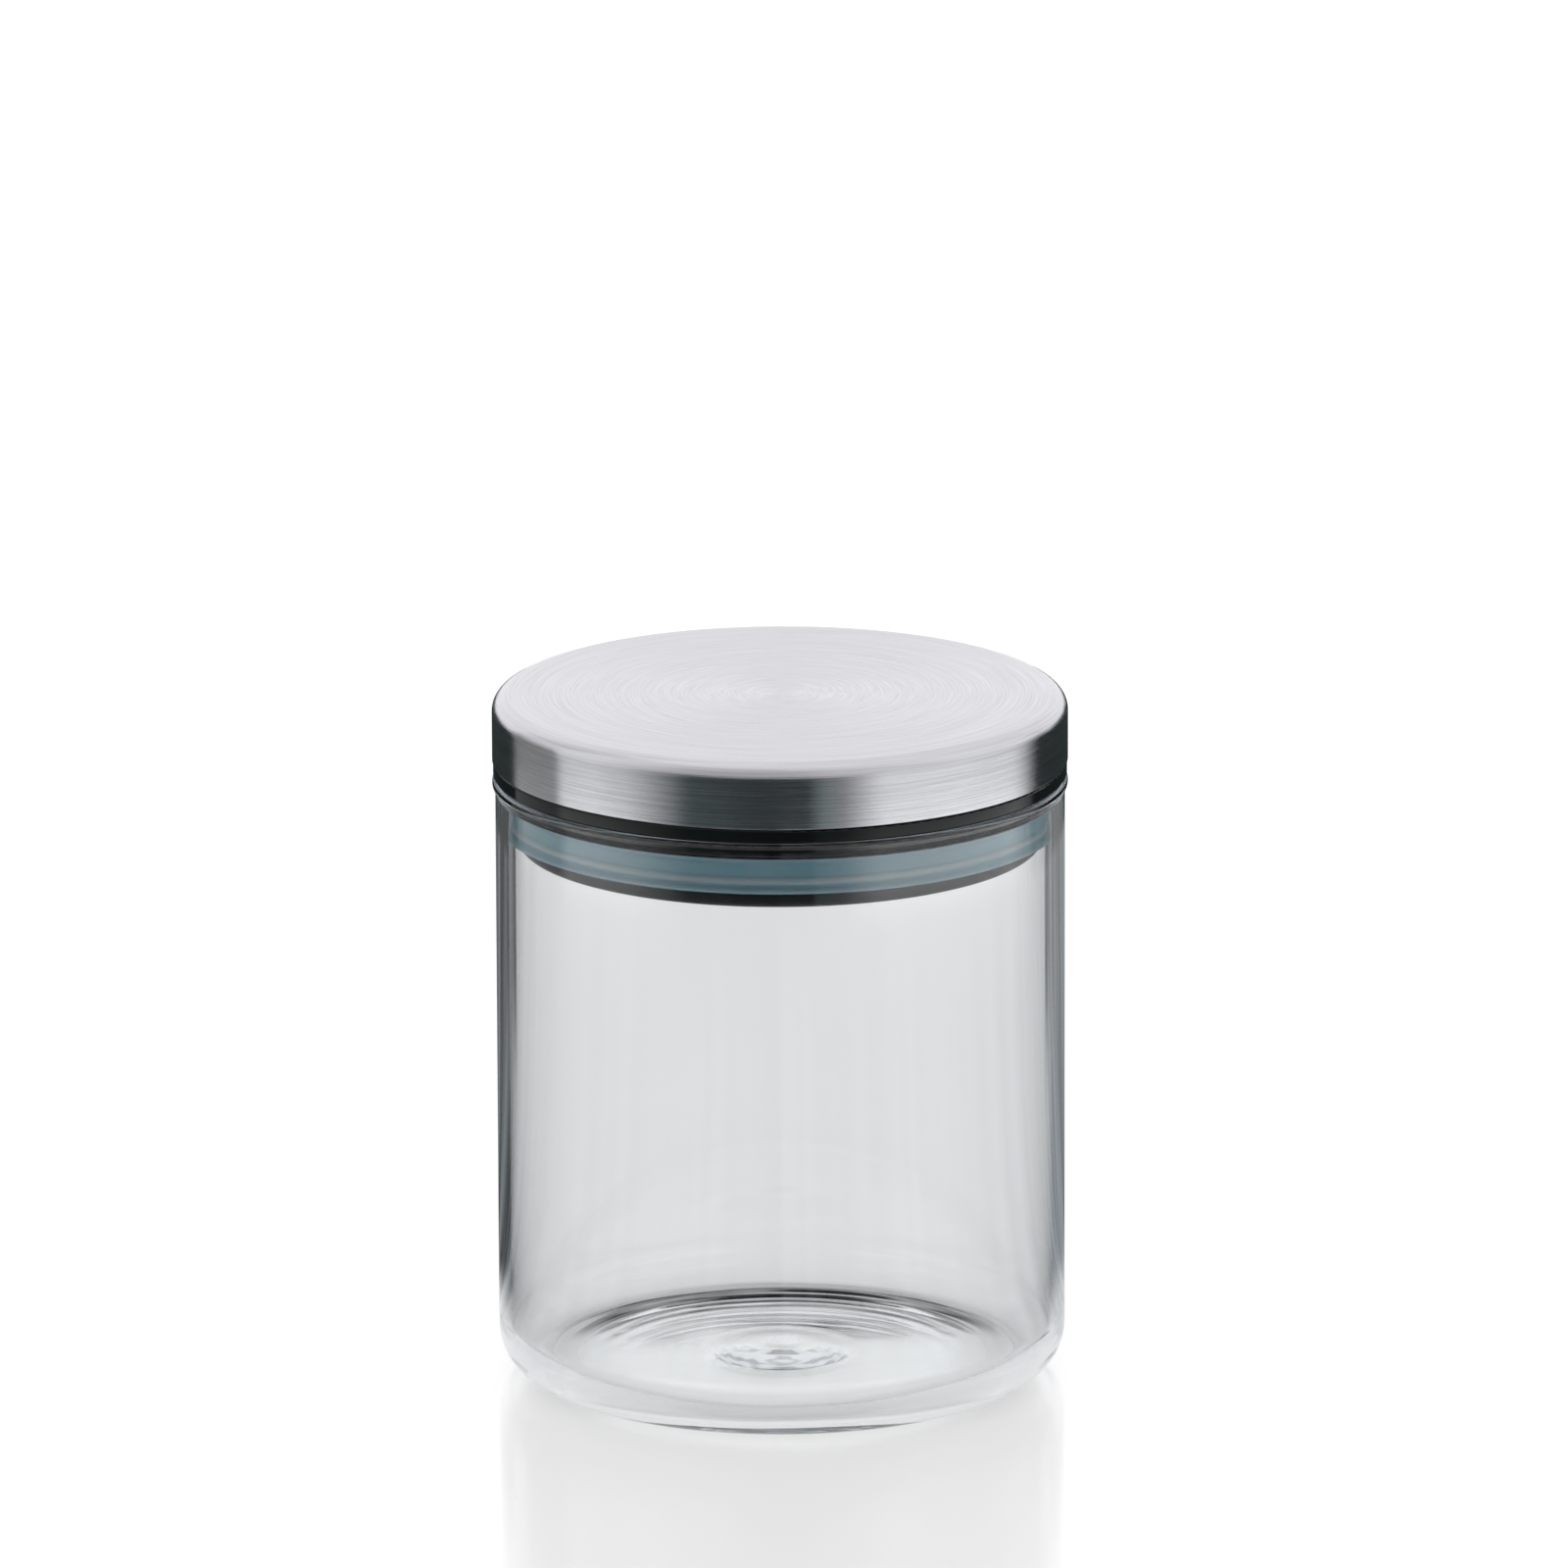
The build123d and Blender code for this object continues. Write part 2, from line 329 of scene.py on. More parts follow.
def jarOutline(d):
    low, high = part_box("glass_jar")
    outer = high.x - d["rimFlare"]
    bore = outer - d["wall"]
    rimRadius = (high.x - bore) / 2
    rimCentre = (high.x - rimRadius, high.z - rimRadius)
    reach = rimRadius + d["neckRadius"]
    neckX = outer + d["neckRadius"]
    drop = math.sqrt(reach ** 2 - (neckX - rimCentre[0]) ** 2)
    neckCentre = (neckX, rimCentre[1] - drop)
    turnAngle = math.degrees(math.asin(drop / reach))
    heelCentre = (outer - d["heelRadius"], d["heelRadius"])
    innerCentre = (bore - d["innerHeelRadius"], d["floor"] + d["innerHeelRadius"])
    footInner = heelCentre[0] - d["footWidth"]
    crown = d["floor"] + d["nubHeight"]
    points = stretch((0, d["pushUp"]), (footInner - d["pushUpSlope"], d["pushUp"]), 4)
    points += easeRun(points[-1], (footInner, 0), 24)
    points += stretch((footInner, 0), (heelCentre[0], 0), 4)
    points += arc(heelCentre, d["heelRadius"], -90, 0, 36)
    points += stretch((outer, heelCentre[1]), (outer, d["waveTop"]), 12)
    points += stretch((outer, d["waveTop"]), (outer, neckCentre[1]), 12)
    points += arc(neckCentre, d["neckRadius"], 180, 180 - turnAngle, 12)
    points += arc(rimCentre, rimRadius, -turnAngle, 180, 36)
    points += stretch((bore, rimCentre[1]), (bore, d["waveTop"]), 12)
    points += stretch((bore, d["waveTop"]), (bore, innerCentre[1]), 12)
    points += arc(innerCentre, d["innerHeelRadius"], 0, -90, 40)
    points += stretch((innerCentre[0], d["floor"]), (d["heelRippleFrom"], d["floor"]), 60)
    points += stretch((d["heelRippleFrom"], d["floor"]), (d["nubRadius"], d["floor"]), 24)
    points += easeRun((d["nubRadius"], d["floor"]), (d["dimpleRadius"], crown), 36)
    points += easeRun((d["dimpleRadius"], crown), (0, crown - d["dimpleDepth"]), 20)
    return points


glassJar = turn("glassJar", jarOutline(jar), False, clearGlass(), {
    "Segments": jar["segments"],
    "Nub Ripple Height": jar["nubRipple"],
    "Nub Ripple Pitch": jar["nubPitch"],
    "Nub Ripple Inner Radius": jar["nubRippleFrom"],
    "Nub Ripple Outer Radius": jar["nubRippleTo"],
    "Heel Ripple Height": jar["heelRipple"],
    "Heel Ripple Pitch": jar["heelPitch"],
    "Heel Ripple Inner Radius": jar["heelRippleFrom"],
    "Heel Ripple Outer Radius": jar["heelRippleTo"],
    "Heel Ripple Start Depth": jar["heelRippleStart"],
    "Heel Ripple Full Depth": jar["heelRippleFull"],
    "Ripple Above": jar["rippleAbove"],
    "Ripple Below": jar["rippleBelow"],
    "Wave Height": jar["waveHeight"],
    "Wave Length": jar["waveLength"],
    "Wave Top": jar["waveTop"],
    "Seed": jar["seed"],
})
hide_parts("glass_jar")
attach(glassJar, "jar")

# lid shell

shell = {
    "sheet": 0.6 * mm,
    "corner": 2.7 * mm,
    "edgeRound": 0.15 * mm,
    "segments": 360,
    "grooveSpacing": 0.24 * mm,   # drawn coarser than the real 0.05 mm grit lines so that it shows
    "grooveDepth": 0.03 * mm,
    "streakLength": 0.5,          # how far round a scratch runs, in radians
    "broadSpacing": 6,            # the broader scratches, as multiples of the fine ones
    "broadLength": 1.7,
    "broadShare": 0.18,
}


def ringPlace(tree, spacing, along):  # coordinates that run across the scratches, and slowly along them
    place = addNode(tree, "ShaderNodeTexCoord").outputs["Object"]
    here = addNode(tree, "ShaderNodeSeparateXYZ", inputs={0: place}).outputs
    flat = addNode(tree, "ShaderNodeCombineXYZ", inputs={0: here["X"], 1: here["Y"]})
    radius = addNode(tree, "ShaderNodeVectorMath", length, {0: flat}).outputs["Value"]
    across = addNode(tree, "ShaderNodeMath", subtract, {0: radius, 1: here["Z"]})
    way = addNode(tree, "ShaderNodeVectorMath", {"operation": "NORMALIZE"}, {0: flat})
    slow = addNode(tree, "ShaderNodeVectorMath", scaleBy, {0: way, "Scale": 1 / along})
    side = addNode(tree, "ShaderNodeSeparateXYZ", inputs={0: slow}).outputs
    fine = addNode(tree, "ShaderNodeMath", multiply, {0: across, 1: 1 / spacing})
    return addNode(tree, "ShaderNodeCombineXYZ", inputs={0: side["X"], 1: side["Y"], 2: fine})


def brushedSteel():  # 18/10 stainless, belt-brushed while it turns: long fine rings and a stretched gleam
    material, tree = newMaterial("brushedStainlessSteel")
    fine = addNode(tree, "ShaderNodeTexNoise", inputs={
        "Vector": ringPlace(tree, shell["grooveSpacing"], shell["streakLength"]),
        "Scale": 1.0, "Detail": 3.0, "Roughness": 0.7})
    broadSpacing = shell["grooveSpacing"] * shell["broadSpacing"]
    broadLength = shell["streakLength"] * shell["broadLength"]
    broad = addNode(tree, "ShaderNodeTexNoise", inputs={
        "Vector": ringPlace(tree, broadSpacing, broadLength),
        "Scale": 1.0, "Detail": 2.0, "Roughness": 0.5})
    mixed = addNode(tree, "ShaderNodeMath", multiplyAdd, {
        0: broad, 1: shell["broadShare"], 2: fine})
    tone = addNode(tree, "ShaderNodeValToRGB", inputs={"Fac": mixed})
    tone.color_ramp.elements[0].position = 0.42
    tone.color_ramp.elements[0].color = hexColour("#b9b9bd")
    tone.color_ramp.elements[1].position = 0.92
    tone.color_ramp.elements[1].color = hexColour("#d9d8dc")
    rough = addNode(tree, "ShaderNodeMapRange", inputs={
        "Value": mixed, "From Min": 0.4, "From Max": 0.95, "To Min": 0.15, "To Max": 0.23})
    bump = addNode(tree, "ShaderNodeBump", inputs={
        "Strength": 0.9, "Distance": shell["grooveDepth"], "Height": mixed})
    tangent = addNode(tree, "ShaderNodeTangent", {"direction_type": "RADIAL", "axis": "Z"})
    shader = addNode(tree, "ShaderNodeBsdfPrincipled", inputs={
        "Base Color": tone,
        "Metallic": 1.0,
        "Roughness": rough,
        "Anisotropic": 0.85,
        "Anisotropic Rotation": 0.25,
        "Tangent": tangent,
        "Normal": bump,
    })
    finishMaterial(tree, shader)
    return material


def shellOutline(d):
    low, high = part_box("lid_shell")
    outer, inner = high.x, high.x - d["sheet"]
    cornerCentre = (outer - d["corner"], high.z - d["corner"])
    edge = d["edgeRound"]
    points = stretch((0, high.z), (cornerCentre[0], high.z), 60)
    points += arc(cornerCentre, d["corner"], 90, 0, 24)
    points += stretch((outer, cornerCentre[1]), (outer, low.z + edge), 16)
    points += arc((outer - edge, low.z + edge), edge, 0, -90, 5)
    points += arc((inner + edge, low.z + edge), edge, -90, -180, 5)
    points += stretch((inner, low.z + edge), (inner, cornerCentre[1]), 8)
    points += arc(cornerCentre, d["corner"] - d["sheet"], 0, 90, 12)
    points += stretch((cornerCentre[0], high.z - d["sheet"]), (0, high.z - d["sheet"]), 20)
    return points


lidShell = turn("lidShell", shellOutline(shell), False, brushedSteel(), {"Segments": shell["segments"]})
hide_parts("lid_shell")
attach(lidShell, "lid")

# seal ring

seal = {
    "band": 1.95 * mm,      # thickness of the plain band
    "rib": 0.45 * mm,       # how far the middle rib stands out
    "ribHeight": 1.5 * mm,
    "ribCentre": 2.0 * mm,  # above the ring's lower edge
    "lipHeight": 0.75 * mm,
    "inset": 0.06 * mm,     # tips of both lips inside the CAD piece's side
    "lowerFlat": 0.2 * mm,  # the flat underside ends this far inside the tips
    "lowerRound": 0.3 * mm,
    "upperRound": 0.25 * mm,
    "lipSlope": 0.3 * mm,   # where the upper lip leaves the band
    "bandStep": 0.1 * mm,
    "bandLift": 0.02 * mm,
    "segments": 288,
}


def siliconeRubber():  # milky translucent silicone over a dark groove: bluish, with a paler band round the middle rib
    material, tree = newMaterial("translucentSilicone")
    place = addNode(tree, "ShaderNodeTexCoord").outputs["Object"]
    cloud = addNode(tree, "ShaderNodeTexNoise", inputs={"Vector": place, "Scale": 90.0, "Detail": 2.0})
    tone = addNode(tree, "ShaderNodeMixRGB", inputs={
        "Fac": cloud, "Color1": hexColour("#8cb4c2"), "Color2": hexColour("#a0c4d0")})
    height = addNode(tree, "ShaderNodeSeparateXYZ", inputs={0: place}).outputs["Z"]
    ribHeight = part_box("seal_ring")[0].z + seal["ribCentre"]
    off = addNode(tree, "ShaderNodeMath", subtract, {0: height, 1: ribHeight})
    away = addNode(tree, "ShaderNodeMath", {"operation": "ABSOLUTE"}, {0: off})
    # paler colour in a band round the middle rib
    paleBand = addNode(tree, "ShaderNodeMapRange", smoothStep, {
        "Value": away, "From Min": seal["ribHeight"] * 0.25, "From Max": seal["ribHeight"] * 0.6,
        "To Min": 1.0, "To Max": 0.0})
    paler = addNode(tree, "ShaderNodeMixRGB", inputs={
        "Fac": paleBand, "Color1": tone, "Color2": hexColour("#b0c6cd")})
    grain = addNode(tree, "ShaderNodeTexNoise", inputs={"Vector": place, "Scale": 2500.0, "Detail": 2.0})
    bump = addNode(tree, "ShaderNodeBump", inputs={
        "Strength": 0.1, "Distance": 0.00002, "Height": grain})
    shader = addNode(tree, "ShaderNodeBsdfPrincipled", inputs={
        "Base Color": paler,
        "Roughness": 0.38,
        "IOR": 1.41,
        "Subsurface Weight": 1.0,
        "Subsurface Radius": (1.0, 0.5, 0.36),
        "Subsurface Scale": 0.0035,
        "Normal": bump,
    })
    finishMaterial(tree, shader)
    return material


def sealOutline(d):
    low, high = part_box("seal_ring")
    inner = min(math.hypot(v.co.x, v.co.y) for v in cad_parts["seal_ring"].data.vertices)
    band = inner + d["band"]
    tip = high.x - d["inset"]
    ribLow = low.z + d["ribCentre"] - d["ribHeight"] / 2
    ribHigh = ribLow + d["ribHeight"]
    lower, upper = d["lowerRound"], d["upperRound"]
    lipTop = low.z + d["lipHeight"]
    points = [(inner, low.z), (tip - d["lowerFlat"], low.z)]
    points += arc((tip - lower, low.z + lower), lower, -90, 20, 10)
    points += easeRun((band + d["bandLift"], lipTop), (band, lipTop + d["bandStep"]), 4)
    points += [(band + d["rib"] * math.sin(math.pi * i / 12), ribLow + (ribHigh - ribLow) * i / 12)
               for i in range(13)]
    bandTop = high.z - d["lipHeight"] - d["lipSlope"]
    points += stretch((band, ribHigh + d["bandStep"]), (band, bandTop), 6)
    points += arc((tip - upper, high.z - upper), upper, -30, 90, 10)
    points += [(inner, high.z)]
    return points


sealRing = turn("sealRing", sealOutline(seal), True, siliconeRubber(), {"Segments": seal["segments"]})
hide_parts("seal_ring")
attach(sealRing, "seal")

# lid carrier, plug base and bonding pad keep their CAD meshes

moulding = {"grain": 0.6 * mm, "flow": 9.0 * mm}


def blackPlastic():  # black moulded ABS out of a polished mould: glossy, with a trace of orange peel
    material, tree = newMaterial("blackGlossAbs")
    place = addNode(tree, "ShaderNodeTexCoord").outputs["Object"]
    flow = addNode(tree, "ShaderNodeTexNoise", inputs={
        "Vector": place, "Scale": 1 / moulding["flow"], "Detail": 2.0})
    rough = addNode(tree, "ShaderNodeMapRange", inputs={
        "Value": flow, "From Min": 0.3, "From Max": 0.7, "To Min": 0.07, "To Max": 0.16})
    tone = addNode(tree, "ShaderNodeMixRGB", inputs={
        "Fac": flow, "Color1": hexColour("#0d1010"), "Color2": hexColour("#141818")})
    peel = addNode(tree, "ShaderNodeTexNoise", inputs={
        "Vector": place, "Scale": 1 / moulding["grain"], "Detail": 1.0})
    bump = addNode(tree, "ShaderNodeBump", inputs={
        "Strength": 0.12, "Distance": 0.00001, "Height": peel})
    shader = addNode(tree, "ShaderNodeBsdfPrincipled", inputs={
        "Base Color": tone,
        "Roughness": rough,
        "IOR": 1.53,
        "Specular IOR Level": 0.25,
        "Normal": bump,
    })
    finishMaterial(tree, shader)
    return material


def foamTape():  # closed-cell polyethylene foam: soft matt cream with fine pores
    material, tree = newMaterial("closedCellFoam")
    place = addNode(tree, "ShaderNodeTexCoord").outputs["Object"]
    cells = addNode(tree, "ShaderNodeTexVoronoi", inputs={"Vector": place, "Scale": 2200.0})
    tone = addNode(tree, "ShaderNodeMixRGB", inputs={
        "Fac": cells.outputs["Distance"], "Color1": hexColour("#d2cfc4"), "Color2": hexColour("#e6e3da")})
    bump = addNode(tree, "ShaderNodeBump", inputs={
        "Strength": 0.4, "Distance": 0.0001, "Height": cells.outputs["Distance"]})
    shader = addNode(tree, "ShaderNodeBsdfPrincipled", inputs={
        "Base Color": tone, "Roughness": 0.9, "Normal": bump})
    finishMaterial(tree, shader)
    return material


plastic = blackPlastic()
for node, material in (("lid_carrier", plastic), ("plug_base", plastic), ("bonding_pad", foamTape())):
    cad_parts[node].material_slots[0].material = material
print("painted the moulded pieces")

# studio

studio = {
    "sky": 1.15,
    "frontSky": 0.2,        # share of the sky's light that comes from the front
    "plainFrontSky": 0.8,   # the same where the steel and the table mirror it
    "mirroredSky": 0.12,    # what the table mirrors through the jar
    "caughtSky": 0.86,      # the sky for light caught inside the wall and the heel
    "caughtGlow": 0.5,      # the table's glow for the same light
    "rimOfFoot": 0.4,       # glow taken off for light that the heel turns back down to the table
    "tableFine": 0.4,       # radius of the finely cut part of the table, and of the whole
    "tableRadius": 30.0,
    "tableGlow": 0.52,
    "underJarGlow": 0.76,   # painted light under the jar, where the jar keeps the sky's light out
    "underJarFrom": 0.025,  # radii between which the glow goes over from one to the other
    "underJarTo": 0.037,
    "heelShade": 0.6,       # the shade the heel throws on the table at the back
    "shadeBack": (0.006, 0.026),  # where the shade comes in and goes out, behind the axis and in radius
    "shadeInner": (0.025, 0.030),
    "shadeOuter": (0.037, 0.042),
    "shadePitch": 1.3 * mm,
    "shadeLength": 0.7,
    "upperFlag": 0.3,       # how dense the flags are above the lid, so that its top stays light from behind
    "upperFrom": 0.125,
    "upperTo": 0.165,
}


def pathTest(tree, name, test, limit):  # 1 where the light path passes the test, else 0
    path = addNode(tree, "ShaderNodeLightPath").outputs
    return addNode(tree, "ShaderNodeMath", test, {0: path[name], 1: limit})


def caughtLight(tree):  # 1 for light that was mirrored inside the glass and left through one more surface
    mirrored = pathTest(tree, "Glossy Depth", greater, 0.5)
    entered = pathTest(tree, "Transmission Depth", greater, 0.5)
    few = pathTest(tree, "Transmission Depth", less, 3.5)
    both = addNode(tree, "ShaderNodeMath", multiply, {0: mirrored, 1: entered})
    return addNode(tree, "ShaderNodeMath", multiply, {0: both, 1: few})


def paintWorld():
    world = bpy.data.worlds.new("studioLight")
    bpy.context.scene.world = world
    world.use_nodes = True
    tree = world.node_tree
    tree.nodes.clear()
    way = addNode(tree, "ShaderNodeTexCoord").outputs["Generated"]
    depth = addNode(tree, "ShaderNodeSeparateXYZ", inputs={0: way}).outputs["Y"]
    front = addNode(tree, "ShaderNodeMapRange", smoothStep, {
        "Value": depth, "From Min": -0.9, "From Max": -0.1, "To Min": studio["frontSky"]})
    mirrored = pathTest(tree, "Glossy Depth", greater, 0.5)
    passed = addNode(tree, "ShaderNodeLightPath").outputs["Transmission Depth"]
    outside = addNode(tree, "ShaderNodeMath", multiply, {
        0: mirrored, 1: pathTest(tree, "Transmission Depth", less, 0.5)})
    plain = addNode(tree, "ShaderNodeMath", multiply, {0: outside, 1: studio["plainFrontSky"]})
    front = addNode(tree, "ShaderNodeMath", {"operation": "MAXIMUM"}, {0: front, 1: plain})
    through = addNode(tree, "ShaderNodeMath", {"operation": "COMPARE"}, {0: passed, 1: 4.5, 2: 1.0})
    both = addNode(tree, "ShaderNodeMath", multiply, {0: mirrored, 1: through})
    dim = addNode(tree, "ShaderNodeMapRange", inputs={
        "Value": both, "To Min": studio["sky"], "To Max": studio["mirroredSky"]})
    dim = addNode(tree, "ShaderNodeMapRange", inputs={
        "Value": caughtLight(tree), "To Min": dim, "To Max": studio["caughtSky"]})
    light = addNode(tree, "ShaderNodeMath", multiply, {0: front, 1: dim})
    soft = addNode(tree, "ShaderNodeBackground", inputs={"Color": hexColour("#fefdff"), "Strength": light})
    addNode(tree, "ShaderNodeOutputWorld", inputs={"Surface": soft})


def addStagePiece(name, points, material, start=0, sweep=360):  # angles from +X, degrees
    piece = turn(name, points, False, material, {
        "Segments": 180, "Start Angle": math.radians(start), "Sweep Angle": math.radians(sweep)})
    return piece


def onlySeenBy(piece, *kinds):
    for kind in ("camera", "diffuse", "glossy", "transmission", "volume_scatter", "shadow"):
        setattr(piece, "visible_" + kind, kind in kinds)


def whiteAcrylic():  # the table: white acrylic sheet with a painted glow that lightens the jar's shadow, stronger under the jar, a painted shadow of the heel, and a faint blurred mirror
    material, tree = newMaterial("whiteAcrylicTable")
    place = addNode(tree, "ShaderNodeTexCoord").outputs["Object"]
    radius = addNode(tree, "ShaderNodeVectorMath", length, {0: place}).outputs["Value"]
    # painted light: the glow is stronger under the jar, where its shadow falls
    glow = addNode(tree, "ShaderNodeMapRange", smoothStep, {
        "Value": radius, "From Min": studio["underJarFrom"], "From Max": studio["underJarTo"],
        "To Min": studio["underJarGlow"], "To Max": studio["tableGlow"]})
    glow = addNode(tree, "ShaderNodeMapRange", inputs={
        "Value": caughtLight(tree), "To Min": glow, "To Max": studio["caughtGlow"]})
    turnedBack = addNode(tree, "ShaderNodeMath", multiply, {
        0: pathTest(tree, "Glossy Depth", greater, 0.5),
        1: pathTest(tree, "Transmission Depth", greater, 3.5)})
    glow = addNode(tree, "ShaderNodeMath", multiplyAdd, {0: turnedBack, 1: -studio["rimOfFoot"], 2: glow})
    depth = addNode(tree, "ShaderNodeSeparateXYZ", inputs={0: place}).outputs["Y"]
    lines = addNode(tree, "ShaderNodeTexNoise", inputs={
        "Vector": ringPlace(tree, studio["shadePitch"], studio["shadeLength"]),
        "Scale": 1.0, "Detail": 1.0})
    shade = addNode(tree, "ShaderNodeMapRange", inputs={
        "Value": lines, "From Min": 0.4, "From Max": 0.62, "To Min": studio["heelShade"], "To Max": 0.1})
    limits = (
        ("shadeInner", radius, 0.0, 1.0),
        ("shadeOuter", radius, 1.0, 0.0),
        ("shadeBack", depth, 0.0, 1.0),
    )
    for name, value, near, far in limits:  # the heel's shade, drawn out into fine lines
        part = addNode(tree, "ShaderNodeMapRange", smoothStep, {
            "Value": value, "From Min": studio[name][0], "From Max": studio[name][1],
            "To Min": near, "To Max": far})
        shade = addNode(tree, "ShaderNodeMath", multiply, {0: shade, 1: part})
    glow = addNode(tree, "ShaderNodeMath", {**subtract, "use_clamp": True}, {0: glow, 1: shade})
    shader = addNode(tree, "ShaderNodeBsdfPrincipled", inputs={
        "Base Color": hexColour("#a8a8a9"),
        "Roughness": 0.12,
        "IOR": 1.8,
        "Emission Color": hexColour("#ffffff"),
        "Emission Strength": glow,
    })
    finishMaterial(tree, shader)
    return material


def azimuthOf(tree):  # 0 in front, growing anticlockwise seen from above, in turns from -0.5 to 0.5
    place = addNode(tree, "ShaderNodeTexCoord").outputs["Object"]
    here = addNode(tree, "ShaderNodeSeparateXYZ", inputs={0: place}).outputs
    minusY = addNode(tree, "ShaderNodeMath", multiply, {0: here["Y"], 1: -1.0})
    angle = addNode(tree, "ShaderNodeMath", {"operation": "ARCTAN2"}, {0: here["X"], 1: minusY})
    return here, addNode(tree, "ShaderNodeMath", multiply, {0: angle, 1: 0.5 / math.pi})


def shareOf(tree, share, light):  # glowing where share is 1, clear where it is 0
    clear = addNode(tree, "ShaderNodeBsdfTransparent")
    glow = addNode(tree, "ShaderNodeEmission", inputs={"Color": light, "Strength": 1.0})
    finishMaterial(tree, addNode(tree, "ShaderNodeMixShader", inputs={0: share, 1: clear, 2: glow}))


def tentMaterial(name, d):  # flags and diffusers, seen only in reflections
    material, tree = newMaterial(name)
    here, part = azimuthOf(tree)
    shifted = addNode(tree, "ShaderNodeMath", add, {0: part, 1: 0.5})
    ramp = addNode(tree, "ShaderNodeValToRGB", inputs={"Fac": shifted})
    elements = ramp.color_ramp.elements
    for i, (degrees, light) in enumerate(d["stops"]):
        position = degrees / 360 + 0.5
        element = elements[i] if i < 2 else elements.new(position)
        element.position = position
        red = 0.75 if light < 0.2 else 0.985  # the black flags are a little blue-green
        element.color = (light * red, light, light * 0.995, 1)
    mirrored = pathTest(tree, "Glossy Depth", greater, 0.5)
    gain = addNode(tree, "ShaderNodeMapRange", inputs={
        "Value": here["Z"], "From Min": d["lowEdge"], "From Max": d["lowEdge"] * 1.04,
        "To Min": d["lowGain"], "To Max": 1.0})
    light = addNode(tree, "ShaderNodeVectorMath", scaleBy, {0: ramp, "Scale": gain})
    fade = addNode(tree, "ShaderNodeMapRange", smoothStep, {
        "Value": here["Z"], "From Min": d["foot"], "From Max": d["foot"] + d["fadeHeight"]})
    thin = addNode(tree, "ShaderNodeMapRange", smoothStep, {
        "Value": here["Z"], "From Min": studio["upperFrom"], "From Max": studio["upperTo"],
        "To Min": 1.0, "To Max": studio["upperFlag"]})
    fade = addNode(tree, "ShaderNodeMath", multiply, {0: fade, 1: thin})
    shareOf(tree, addNode(tree, "ShaderNodeMath", multiply, {0: mirrored, 1: fade}), light)
    return material


edge = {
    "inner": 0.05,
    "outer": 0.9,
    "height": 0.0002,
    "fadeFrom": 0.05,
    "fadeTo": 0.09,
    "shortest": 0.02,    # shorter rays come from the table's mirror image and not from the jar
    "rightLift": 0.12,
}


def edgeMaterial():  # dark ring low round the jar that only rays caught in its wall can see
    material, tree = newMaterial("studioEdgeFlag")
    mirrored = pathTest(tree, "Glossy Depth", greater, 0.5)
    few = pathTest(tree, "Transmission Depth", less, 3.5)
    caught = addNode(tree, "ShaderNodeMath", multiply, {0: mirrored, 1: few})
    fromJar = pathTest(tree, "Ray Length", greater, edge["shortest"])
    here, part = azimuthOf(tree)
    flat = addNode(tree, "ShaderNodeCombineXYZ", inputs={0: here["X"], 1: here["Y"]})
    radius = addNode(tree, "ShaderNodeVectorMath", length, {0: flat}).outputs["Value"]
    fade = addNode(tree, "ShaderNodeMapRange", smoothStep, {
        "Value": radius, "From Min": edge["fadeFrom"], "From Max": edge["fadeTo"]})
    both = addNode(tree, "ShaderNodeMath", multiply, {0: caught, 1: fromJar})
    share = addNode(tree, "ShaderNodeMath", multiply, {0: both, 1: fade})
    streak = addNode(tree, "ShaderNodeTexNoise", {"noise_dimensions": "1D"}, {
        "W": part, "Scale": 55.0, "Detail": 1.0})
    dark = addNode(tree, "ShaderNodeMapRange", inputs={
        "Value": streak, "From Min": 0.4, "From Max": 0.66, "To Min": 0.02, "To Max": 0.3})
    right = addNode(tree, "ShaderNodeMath", greater, {0: here["X"], 1: 0.0})
    light = addNode(tree, "ShaderNodeMath", multiplyAdd, {0: right, 1: edge["rightLift"], 2: dark})
    tint = addNode(tree, "ShaderNodeVectorMath", scaleBy, {0: (0.92, 1.0, 1.06), "Scale": light})
    shareOf(tree, share, tint)
    return material


card = {
    "inner": 0.078,
    "outer": 0.15,
    "low": 0.0005,
    "high": 0.085,
    "behind": 0.15,
    "fadeHeight": 0.03,
    "darkEdge": (0.0845, 0.0875),
    "jarSide": 0.0466,
    "nearest": 0.02236,  # squared distance from the side of the jar, square on
    "slant": 1.086,      # and what it grows by with the squared distance sideways
    "spread": 0.007,     # rays within this of that length come from the side of the jar
}


